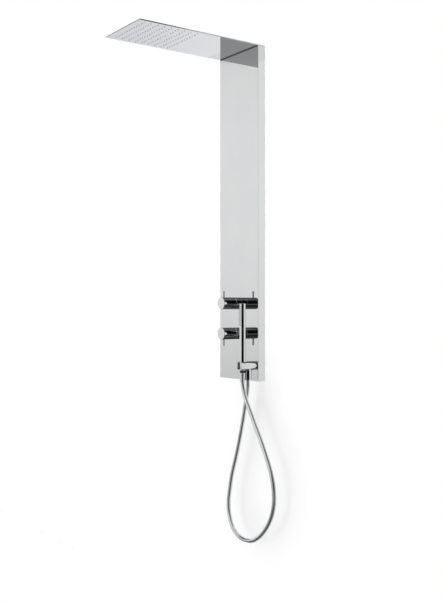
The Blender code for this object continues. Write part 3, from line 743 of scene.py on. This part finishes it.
def glow_along(tree, place, stops, base=0.0):
    """A card's glow at a place, from stops of (place, glow) in metres, counted from the base."""
    start, end = stops[0][0], stops[-1][0]
    reach = tree.nodes.new("ShaderNodeMapRange")
    reach.inputs["From Min"].default_value = start + base
    reach.inputs["From Max"].default_value = end + base
    tree.links.new(place, reach.inputs["Value"])
    shares = [((where - start) / (end - start), glow) for where, glow in stops]
    return tree.ramp(reach.outputs["Result"], shares)


def cooled(stops):
    """Glow stops whose greys lean to blue where x is negative."""
    dim, bright = 1 - COOLNESS, 1 + COOLNESS
    return [(x, (grey * dim, grey * dim, grey * bright) if x < 0 else grey) for x, grey in stops]


def add_card(name, by_x, by_height):
    """A panel on the wall's plane that only mirrors see; its glow changes across and up."""
    material = bpy.data.materials.new(name)
    material.use_nodes = True
    tree = NodeTree(material.node_tree)
    tree.nodes.clear()
    x, _, z = tree.split(tree.nodes.new("ShaderNodeTexCoord").outputs["Object"])
    across = glow_along(tree, x, cooled(by_x))
    upward = glow_along(tree, z, by_height, BASE)
    glow = tree.nodes.new("ShaderNodeEmission")
    tree.links.new(tree.blend("MULTIPLY", 1.0, across, upward), glow.inputs["Color"])
    output = tree.nodes.new("ShaderNodeOutputMaterial")
    tree.links.new(glow.outputs["Emission"], output.inputs["Surface"])

    left, right = by_x[0][0], by_x[-1][0]
    low, high = by_height[0][0] + BASE, by_height[-1][0] + BASE
    places = [(left, low), (right, low), (right, high), (left, high)]
    card = add_stage(name, [(x, WALL_BACK, z) for x, z in places], material)
    card.visible_camera = False
    card.visible_diffuse = False
    card.visible_shadow = False


def in_degrees(stops, whole):
    """Stops at degrees from the middle, as places on a ramp that spans the whole."""
    return [(degrees / whole + 0.5, value) for degrees, value in stops]


def surroundings(tree):
    """What mirrors see: a room with one dark side, and a softbox ahead of the wall."""
    x, y, z = tree.split(tree.nodes.new("ShaderNodeTexCoord").outputs["Generated"])
    elevation = tree.math("DIVIDE", tree.math("ARCSINE", z), math.pi)
    height = tree.math("ADD", elevation, 0.5)
    bearing = tree.math("DIVIDE", tree.math("ARCTAN2", x, tree.math("MULTIPLY", y, -1.0)), math.tau)
    turn = tree.math("ADD", bearing, 0.5)
    by_height = tree.ramp(height, in_degrees(BY_HEIGHT, 180))
    dark_side = tree.ramp(height, in_degrees(DARK_SIDE, 180))
    mask = tree.ramp(turn, in_degrees(DARK_BEARINGS, 360))
    room = tree.blend("MIX", mask, by_height, dark_side)
    across = tree.ramp(turn, in_degrees(SOFTBOX_BEARINGS, 360))
    upward = tree.ramp(height, in_degrees(SOFTBOX_HEIGHTS, 180))
    softbox = tree.blend("MULTIPLY", 1.0, across, upward)
    return tree.blend("LIGHTEN", 1.0, room, softbox)


def add_studio():
    """Even white light for matt surfaces, and the surroundings for mirrors."""
    world = bpy.data.worlds.new("studio")
    bpy.context.scene.world = world
    world.use_nodes = True
    tree = NodeTree(world.node_tree)
    tree.nodes.clear()
    even = tree.nodes.new("ShaderNodeBackground")
    even.inputs["Color"].default_value = (0.90, 0.90, 0.90, 1)
    seen = tree.nodes.new("ShaderNodeBackground")
    tree.links.new(surroundings(tree), seen.inputs["Color"])
    glossy = tree.nodes.new("ShaderNodeLightPath").outputs["Is Glossy Ray"]
    mixed = tree.mix_shaders(glossy, even.outputs["Background"], seen.outputs["Background"])
    output = tree.nodes.new("ShaderNodeOutputWorld")
    tree.links.new(mixed, output.inputs["Surface"])
    bpy.context.scene.view_settings.view_transform = "Standard"


# ---------------------------------------------------------------- column and head

LIP = 0.012  # the folded edge along the back of each side
FOLD_OUTSIDE, FOLD_INSIDE = 0.0007, 0.0003  # radii of the folds
NECK_HOLE = 0.0165  # in the front, for each control
SHANK_HOLE = 0.0103  # in the front, for the outlet arm
HOLE_SPAN = (0.02, 0.05)  # how far from the wall the cutters of these holes reach
FLOOR_GAP = 0.0001
FLOOR_CORNER = 0.0005
COVE_STEPS = 12
COVE_HOLLOW = 0.25  # 0 is a straight chamfer, 1 a full quarter round
COVE_INSET = 0.002  # from each side of the column


def add_column():
    """The folded tray: front, two sides with a lip along the back, and a closed lower end."""
    half, back, top = HALF_WIDTH, -PANEL_HIGH.y, PANEL_HIGH.z - BASE
    outer = [(-half + LIP, back), (-half, back), (-half, DEPTH)]
    outer += [(half, DEPTH), (half, back), (half - LIP, back)]
    inner = [(-half + LIP, back + SHEET), (-half + SHEET, back + SHEET), (-half + SHEET, DEPTH - SHEET)]
    inner += [(half - SHEET, DEPTH - SHEET), (half - SHEET, back + SHEET), (half - LIP, back + SHEET)]
    rounded = fold(outer, FOLD_OUTSIDE) + fold(inner, FOLD_INSIDE)[::-1]
    tray = prism_shape(rounded, at, 0, top)
    column = add_piece("column", tray, "polished_steel", "root", ["column_panel"])
    heights = [height for height, _ in CONTROLS.values()]
    holes = [rod_shape(NECK_HOLE, *HOLE_SPAN, at(0, 0, height), OUTWARD) for height in heights]
    holes.append(rod_shape(SHANK_HOLE, *HOLE_SPAN, at(OUTLET_X, 0, OUTLET_HEIGHT), OUTWARD))
    cut(column, *holes)
    add_column_floor(back)
    add_cove(top)


def add_column_floor(back):
    """The plate that closes the column's lower end."""
    left, right = -HALF_WIDTH + SHEET + FLOOR_GAP, HALF_WIDTH - SHEET - FLOOR_GAP
    near, far = back + SHEET, DEPTH - SHEET - FLOOR_GAP
    outline = [(left, near), (right, near), (right, far), (left, far)]
    plate = prism_shape(soften(outline, FLOOR_CORNER), at, 0, SHEET)
    add_piece("column_floor", plate, "polished_steel", "root")


def add_cove(top):
    """The slightly hollow chamfer where the column's front meets the head."""
    root = DEPTH - SHEET / 2
    low = top - GAP - SEAM
    outline = [(root, low), (root, top), (DEPTH + SEAM, top)]
    for step in range(COVE_STEPS + 1):
        angle = math.radians(90 + 90 / COVE_STEPS * step)
        hollow = Vector((1 + math.cos(angle), math.sin(angle)))
        straight = Vector((1 - step / COVE_STEPS, 1 - step / COVE_STEPS))
        across, up = straight.lerp(hollow, COVE_HOLLOW) * SEAM
        outline.append((DEPTH + across, low + up))
    reach = HALF_WIDTH - COVE_INSET
    shape = prism_shape(outline, lambda out, height, x: at(x, out, height), -reach, reach)
    add_piece("column_cove", shape, "polished_steel", "root")


def fold(path, radius, steps=6):
    """Rounds the inner corners of an open path with true arcs."""
    made = [path[0]]
    for before, point, after in zip(path, path[1:], path[2:]):
        corner = Vector(point)
        back = (Vector(before) - corner).normalized()
        onward = (Vector(after) - corner).normalized()
        half = back.angle(onward) / 2
        centre = corner + (back + onward).normalized() * (radius / math.sin(half))
        start = corner + back * (radius / math.tan(half)) - centre
        end = corner + onward * (radius / math.tan(half)) - centre
        turn = math.pi - 2 * half
        for i in range(steps + 1):
            a = turn * i / steps
            spoke = start * math.sin(turn - a) + end * math.sin(a)
            made.append(tuple(centre + spoke / math.sin(turn)))
    made.append(path[-1])
    return made


NOZZLES_ACROSS, NOZZLES_ALONG = 13, 9
NOZZLE_PITCH_ACROSS, NOZZLE_PITCH_ALONG = 0.01775, 0.0285
FIRST_NOZZLE_OUT = HEAD_REACH - 0.030
NOZZLE_HOLE = 0.0027
NOZZLE_ROOT, NOZZLE_WAIST, NOZZLE_TIP = 0.0025, 0.0024, 0.0017
NOZZLE_MOUTH, NOZZLE_BORE, MOUTH_DEPTH = 0.0008, 0.0007, 0.0012
NOZZLE_SINK = 0.0002  # how far each nozzle starts inside the mat
MAT_THICKNESS = 0.0008
HEAD_SHEET = 0.0012
PAST = 0.01  # how far the cutters run past the plate


def nozzle_places():
    """The (x, distance from the wall) of each nozzle."""
    rows = [FIRST_NOZZLE_OUT - row * NOZZLE_PITCH_ALONG for row in range(NOZZLES_ALONG)]
    middle = (NOZZLES_ACROSS - 1) / 2
    columns = [(column - middle) * NOZZLE_PITCH_ACROSS for column in range(NOZZLES_ACROSS)]
    return [(x, out) for out in rows for x in columns]


def bevel_level(shape, height, width, segments):
    """Rounds the edges of a slab that lie at one height."""
    bmesh.ops.recalc_face_normals(shape, faces=shape.faces)
    level = height + BASE
    rim = [edge for edge in shape.edges if all(abs(v.co.z - level) < 1e-6 for v in edge.verts)]
    bmesh.ops.bevel(shape, geom=rim, offset=width, segments=segments, profile=0.5, affect="EDGES")


def add_head():
    """A thin slab with softly rounded rims; its underside is a plate with a hole for each nozzle."""
    xs = (-HALF_WIDTH, HALF_WIDTH)
    back, floor = -HEAD_HIGH.y, HEAD_LOW.z - BASE
    shape = box_shape(xs, (back, HEAD_REACH), (floor, HEAD_TOP))
    bevel_level(shape, HEAD_TOP, 0.0018, 6)
    bevel_level(shape, floor, 0.0002, 2)
    shell = add_piece("head", shape, "polished_steel", "root", ["head_shell"])
    inner = HALF_WIDTH - HEAD_SHEET
    outs = (back + HEAD_SHEET, HEAD_REACH - HEAD_SHEET)
    cut(shell, box_shape((-inner, inner), outs, (HEAD_UNDER, HEAD_TOP - HEAD_SHEET)))

    shape = box_shape(xs, (back, HEAD_REACH), (HEAD_UNDER, PLATE_HIGH.z - BASE))
    bevel_level(shape, HEAD_UNDER, 0.0005, 4)
    plate = add_piece("spray_face", shape, "polished_steel", "root", ["spray_plate"])
    holes = bmesh.new()
    profile = [(0, -PAST), (NOZZLE_HOLE, -PAST), (NOZZLE_HOLE, PAST), (0, PAST)]
    for x, out in nozzle_places():
        turn_profile(holes, profile, at(x, out, HEAD_UNDER), UPWARD, 20)
    cut(plate, holes)
    add_nozzles()


def add_nozzles():
    """The silicone mat over the plate, with a nozzle through each of its holes."""
    low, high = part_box("nozzle_mat")
    under = high.z - BASE - MAT_THICKNESS
    shape = box_shape((low.x, high.x), (-high.y, -low.y), (under, high.z - BASE))
    root, tip = under + NOZZLE_SINK, low.z - BASE
    mouth = tip + MOUTH_DEPTH
    profile = [(0, root), (NOZZLE_ROOT, root), (NOZZLE_WAIST, HEAD_UNDER), (NOZZLE_TIP, tip)]
    profile += [(NOZZLE_MOUTH, tip), (NOZZLE_BORE, mouth), (0, mouth)]
    for x, out in nozzle_places():
        turn_profile(shape, soften(profile, 0.0004, 3), at(x, out, 0), UPWARD, 16)
    add_piece("nozzles", shape, "silicone", "root", ["nozzle_mat"], 40, False)


# ---------------------------------------------------------------- controls

CONTROLS = {"mixer": (0.302, 1), "diverter": (0.183, -1)}  # height, and which way the lever points
CONTROL_RADIUS, CONTROL_BORE = 0.0235, 0.0215
SLEEVE_START, SLEEVE_END = DEPTH + GAP, 0.0600
SLEEVE_CHAMFER, SLEEVE_CHAMFER_DEPTH = 0.0010, 0.0006
KNOB_START, KNOB_END = 0.0615, 0.1190
WEB = (0.098, 0.102)  # the disc inside the knob, that the spindle holds
HUB_START, HUB_RADIUS, HUB_BORE = 0.088, 0.009, 0.0043
CAP_START, CAP_SEAT, CAP_END = 0.1155, 0.1192, 0.1210
LEVER_OUT, LEVER_END = 0.1075, 0.049
LEVER_RADIUS, LEVER_FOOT_RADIUS, LEVER_FOOT = 0.00375, 0.0022, 0.0210
SEAL_RADIUS, SEAL_END = 0.0200, DEPTH + 0.0028


def add_control(name, height, lever_way):
    """A fixed sleeve, and a knob with its front cap and pin lever."""
    base = at(0, 0, height)
    body = name + "_control"
    outer, inner = CONTROL_RADIUS, CONTROL_BORE
    profile = [(inner, SLEEVE_START), (outer, SLEEVE_START), (outer, SLEEVE_END - SLEEVE_CHAMFER_DEPTH)]
    profile += [(outer - SLEEVE_CHAMFER, SLEEVE_END), (inner, SLEEVE_END)]
    turned(name + "_collar", profile, base, OUTWARD, "chrome", "root", [name + "_sleeve"], 96)

    start, end, rim = SLEEVE_END + GAP, KNOB_START - GAP, outer - 0.0004
    joint = [(inner, start), (rim, start), (rim, end), (inner, end)]
    turned(name + "_joint", joint, base, OUTWARD, "plain_steel", "root", (), 96, 0.0002)

    profile = [(outer, KNOB_START), (outer, KNOB_END), (inner, KNOB_END)]
    profile += [(inner, WEB[1]), (HUB_BORE, WEB[1]), (HUB_BORE, HUB_START), (HUB_RADIUS, HUB_START)]
    profile += [(HUB_RADIUS, WEB[0]), (inner, WEB[0]), (inner, KNOB_START)]
    turned(name + "_grip", profile, base, OUTWARD, "chrome", body, [name + "_knob"], 96)

    profile = [(0, CAP_START), (inner - GAP, CAP_START), (inner - GAP, CAP_SEAT)]
    profile += [(outer, CAP_SEAT), (outer, CAP_END), (0, CAP_END)]
    turned(name + "_front", profile, base, OUTWARD, "chrome", body, [name + "_cap"], 96, 0.0006)

    root, shoulder = base + OUTWARD * LEVER_OUT, outer + GAP
    profile = [(0, LEVER_FOOT), (LEVER_FOOT_RADIUS, LEVER_FOOT), (LEVER_FOOT_RADIUS, shoulder)]
    profile += [(LEVER_RADIUS, shoulder), (LEVER_RADIUS, LEVER_END), (0, LEVER_END)]
    turned(name + "_pin", profile, root, UPWARD * lever_way, "chrome", body, [name + "_lever"], 40, 0.0009)

    ring = [(NECK_HOLE, SLEEVE_START), (SEAL_RADIUS, SLEEVE_START)]
    ring += [(SEAL_RADIUS, SEAL_END), (NECK_HOLE, SEAL_END)]
    turned(name + "_gasket", ring, base, OUTWARD, "seal_rubber", "root", [name + "_seal"], 48)


# ---------------------------------------------------------------- outlet and handset

OUTLET_HEIGHT = 0.061
ARM_START, ARM_END = 0.012, 0.109
ARM_RADIUS, SHANK_RADIUS = 0.017, 0.010
SPIGOT_HOLE, SPIGOT_HOLE_TOP = 0.0103, 0.0508
BOSS_RADIUS, BOSS = 0.0128, (0.0440, 0.0500)
FORK_HOLE, FORK_HALF = 0.0140, 0.0110
CUT_SPAN = (0.03, 0.09)  # heights between which the fork's cutters reach
MOUTH_OUT, MOUTH_CUT_END = 0.1065, 0.13
MOUTH_FLARE, MOUTH_FLARE_LENGTH, MOUTH_END_FLARE = 0.0015, 0.0025, 0.0020
MOUTH_TURN = [math.radians(15 * step) for step in range(1, 7)]
LINER_LOW, LINER_HIGH = 0.0475, 0.0772
LINER_RADIUS, LINER_TOP_BORE, LINER_BORE = 0.0137, 0.0122, 0.0102
LINER_HALF, CHEEK_OUTSIDE = 0.0095, 0.0107
CHEEK_START, CHEEK_INSET = FORK_OUT + 0.0084, 0.0015
NUT_RADIUS, NUT_FOOT_RADIUS, NUT_BORE = 0.0150, 0.0142, 0.005
NUT_LOW, NUT_FOOT, NUT_SEAT, NUT_HIGH = 0.006, 0.0085, 0.0163, 0.0437


def add_outlet():
    """The arm with its fork, the liner in the fork, and the hose's nut under the arm."""
    base = at(OUTLET_X, 0, OUTLET_HEIGHT)
    fork = at(OUTLET_X, FORK_OUT, 0)
    spigot = at(OUTLET_X, SPIGOT_OUT, 0)
    start = DEPTH + GAP
    profile = [(0, ARM_START), (SHANK_RADIUS, ARM_START), (SHANK_RADIUS, start)]
    profile += [(ARM_RADIUS, start), (ARM_RADIUS, ARM_END), (0, ARM_END)]
    arm = turned("arm", profile, base, OUTWARD, "chrome", "root", ["outlet_arm"], 96, 0.0010)
    fork_hole = rod_shape(FORK_HOLE, *CUT_SPAN, fork, UPWARD, 64)
    spigot_hole = rod_shape(SPIGOT_HOLE, CUT_SPAN[0], SPIGOT_HOLE_TOP, spigot, UPWARD)
    cut(arm, fork_hole, fork_slot(FORK_HALF), spigot_hole)

    low, high = BOSS
    profile = [(SPIGOT_HOLE, low), (BOSS_RADIUS, low), (BOSS_RADIUS, high), (SPIGOT_HOLE, high)]
    turned("arm_boss", profile, spigot, UPWARD, "chrome", "root")
    add_liner(fork)

    profile = [(NUT_BORE, NUT_LOW), (NUT_FOOT_RADIUS, NUT_LOW), (NUT_RADIUS, NUT_FOOT)]
    profile += [(NUT_RADIUS, NUT_HIGH), (SPIGOT_HOLE, NUT_HIGH)]
    profile += [(SPIGOT_HOLE, NUT_SEAT), (NUT_BORE, NUT_SEAT)]
    turned("outlet_nut", profile, spigot, UPWARD, "chrome", "root", ["hose_outlet_nut"], 80, 0.0006)


def add_liner(fork):
    """The plastic that lines the fork's hole, and its two cheeks along the slot."""
    low, high = LINER_LOW, LINER_HIGH
    profile = [(LINER_BORE, low), (LINER_RADIUS, low), (LINER_RADIUS, high), (LINER_TOP_BORE, high)]
    liner = turned("liner", profile, fork, UPWARD, "valve_plastic", "root", ["fork_liner"], 64)
    cut(liner, fork_slot(LINER_HALF))
    cheek_end = ARM_END - CHEEK_INSET
    for side, sign in (("left", -1), ("right", 1)):
        left, right = sorted((OUTLET_X + sign * LINER_HALF, OUTLET_X + sign * CHEEK_OUTSIDE))
        outline = [(left, CHEEK_START), (right, CHEEK_START), (right, cheek_end), (left, cheek_end)]
        shape = prism_shape(soften(outline, 0.0005), at, low, high)
        add_piece("liner_cheek_" + side, shape, "valve_plastic", "root")


def fork_slot(half):
    """The cutter that opens the fork to the front, with its mouth a little flared."""
    edge = [(half, FORK_OUT), (half, MOUTH_OUT)]
    for a in MOUTH_TURN:
        wider, onward = MOUTH_FLARE * (1 - math.cos(a)), MOUTH_FLARE_LENGTH * math.sin(a)
        edge.append((half + wider, MOUTH_OUT + onward))
    edge.append((half + MOUTH_END_FLARE, MOUTH_CUT_END))
    outline = [(OUTLET_X - across, out) for across, out in edge]
    outline += [(OUTLET_X + across, out) for across, out in reversed(edge)]
    return prism_shape(outline, at, *CUT_SPAN)


STICK_RADIUS, STICK_BORE = 0.012, 0.0105
STICK_LOW, STICK_TOP = 0.0780, 0.301
CAP_THICKNESS, CAP_PLUG = 0.0017, 0.0042
SLEEVE_FOOT = -0.0020
JET_ROWS, JET_PITCH, JET_FIRST = 9, 0.009, 0.222
JET_ANGLE = math.radians(20)
JET_HOLE, JET_RADIUS, JET_TIP_RADIUS = 0.0023, 0.0021, 0.0017
JET_MOUTH, JET_BORE, JET_MOUTH_DEPTH = 0.0006, 0.0005, 0.0008
JET_ROOT, JET_HOLE_START, JET_HOLE_END = 0.0092, 0.0085, 0.02
JET_TIP = STICK_RADIUS + 0.0025
STRIP_THICKNESS = 0.0015


def add_stick():
    """The handset's tube, still without its jet holes, and the cap on its top."""
    base = at(OUTLET_X, FORK_OUT, 0)
    tube_top, plug = STICK_TOP - 0.002, STICK_BORE - GAP
    profile = [(STICK_BORE, STICK_LOW), (STICK_RADIUS, STICK_LOW)]
    profile += [(STICK_RADIUS, tube_top), (STICK_BORE, tube_top)]
    tube = turned("stick", profile, base, UPWARD, "chrome", "handset", ["handset_tube"], 80, 0.0003)
    profile = [(0, STICK_TOP - CAP_PLUG), (plug, STICK_TOP - CAP_PLUG), (plug, STICK_TOP - CAP_THICKNESS)]
    profile += [(STICK_RADIUS, STICK_TOP - CAP_THICKNESS), (STICK_RADIUS, STICK_TOP), (0, STICK_TOP)]
    turned("stick_cap", profile, base, UPWARD, "chrome", "handset", ["handset_cap"], 80, 0.0007)
    return tube


def add_cone():
    """The hose's cone, which stands in the fork, with its sleeve and a black ring of painted shade under
    the arm.
    """
    base = at(OUTLET_X, FORK_OUT, 0)
    profile = [(0.005, 0.034), (0.0092, 0.034), (0.0097, 0.0465), (0.0119, 0.0777), (0.0089, 0.0777)]
    profile += [(0.0089, 0.0540), (0.005, 0.0540)]
    cone = turned("cone", profile, base, UPWARD, "satin_chrome", "hose_swivel", ["hose_cone"], 80, 0.0005)
    profile = [(0.0083, 0.0337), (0.0083, SLEEVE_FOOT), (0.0093, SLEEVE_FOOT), (0.0106, 0.0337)]
    turned("cone_sleeve", profile, base, UPWARD, "satin_chrome", "hose_swivel", (), 80, 0.0003)
    # Painted shade: this black ring stands for the dark band of shade that the arm casts round the top of
    # the cone.
    profile = [(0.0090, 0.0352), (0.0098, 0.0352), (0.0101, 0.0445), (0.0092, 0.0445)]
    turned("cone_shade_ring", profile, base, UPWARD, "seal_rubber", "hose_swivel", (), 64, 0.0003)
    return cone


def jet_places():
    """The (angle, height) of each jet, in two rows that are half a pitch apart."""
    places = []
    for row in range(JET_ROWS):
        for sign in (-1, 1):
            height = JET_FIRST + row * JET_PITCH - (JET_PITCH / 2 if sign > 0 else 0)
            places.append((sign * JET_ANGLE, height))
    return places


def add_jets(tube):
    """The jets on their strip inside the tube, and their holes through it."""
    holes, jets = bmesh.new(), bmesh.new()
    hole = [(0, JET_HOLE_START), (JET_HOLE, JET_HOLE_START), (JET_HOLE, JET_HOLE_END), (0, JET_HOLE_END)]
    mouth = JET_TIP - JET_MOUTH_DEPTH
    jet = [(0, JET_ROOT), (JET_RADIUS, JET_ROOT), (JET_RADIUS, STICK_RADIUS)]
    jet += [(JET_TIP_RADIUS, JET_TIP), (JET_MOUTH, JET_TIP), (JET_BORE, mouth), (0, mouth)]
    for angle, height in jet_places():
        way = Vector((math.sin(angle), -math.cos(angle), 0))
        centre = at(OUTLET_X, FORK_OUT, 0) + UPWARD * height
        turn_profile(holes, hole, centre, way, 16)
        turn_profile(jets, soften(jet, 0.0003, 3), centre, way, 14)
    cut(tube, holes)
    add_strip(jets)
    add_piece("jets", jets, "jet_silicone", "handset", ["handset_jets"], 40, False)


def add_strip(jets):
    """Adds the curved strip behind the jets to their bmesh."""
    spread = [math.radians(-36 + 4 * i) for i in range(19)]
    outer = STICK_BORE - GAP
    inner = outer - STRIP_THICKNESS
    outline = [(outer * math.sin(a), outer * math.cos(a)) for a in spread]
    outline += [(inner * math.sin(a), inner * math.cos(a)) for a in reversed(spread)]
    low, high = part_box("handset_jets")

    def to_point(x, out, z):
        return Vector((x + OUTLET_X, -out - FORK_OUT, z))

    strip = prism_shape(outline, to_point, low.z, high.z)
    mesh = bpy.data.meshes.new("strip")
    strip.to_mesh(mesh)
    strip.free()
    jets.from_mesh(mesh)
    bpy.data.meshes.remove(mesh)


# ---------------------------------------------------------------- everything else


def finish_nodes():
    """Gives each CAD node that is still shown its finish from the record's slots."""
    for entry in frame["record"]["subparts"]:
        node = frame["nodes"][entry["node"]]
        material = FINISHES[entry["material_slot"]]
        for slot in node.material_slots:
            slot.material = material


add_camera()
hose, hose_line = add_hose()
wall = add_room()
add_card("low_card", LOW_CARD_BY_X, LOW_CARD_BY_HEIGHT)
add_card("high_card", HIGH_CARD_BY_X, HIGH_CARD_BY_HEIGHT)
add_studio()
add_column()
add_head()
for control, (axis_height, pointing) in CONTROLS.items():
    add_control(control, axis_height, pointing)
add_outlet()
tube = add_stick()
cone = add_cone()
add_jets(tube)
finish_nodes()
add_front_lights(wall, (hose, cone))
